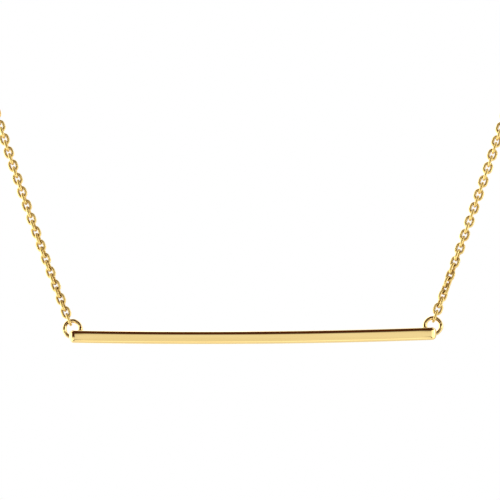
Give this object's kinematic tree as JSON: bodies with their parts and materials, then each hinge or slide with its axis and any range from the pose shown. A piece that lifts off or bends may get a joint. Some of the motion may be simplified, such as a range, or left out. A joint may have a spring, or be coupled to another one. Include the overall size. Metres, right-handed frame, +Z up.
{
  "type": "bar pendant necklace",
  "caption": "Slim straight gold bar with a ring soldered behind each end, hung from a fine oval-link cable chain that closes at the nape.",
  "frame": {"origin": "on the chain's line at the middle of the nape, at the centre of the clasp's ring, where the necklace is held up", "axes": "+Z up, the bar's polished face towards -Y, +X to the right as the face is looked at"},
  "size_m": [0.101, 0.1068, 0.1224],
  "materials": {
    "bar_gold": "mirror-polished yellow gold",
    "chain_gold": "polished yellow gold wire",
    "clasp_gold": "polished yellow gold"
  },
  "bodies": {
    "root": {"bar": "bar_gold", "front_links_left": "chain_gold", "front_links_right": "chain_gold", "chain_left": "chain_gold", "chain_right": "chain_gold", "clasp": "clasp_gold", "catch_ring": "clasp_gold"}
  },
  "joints": []
}
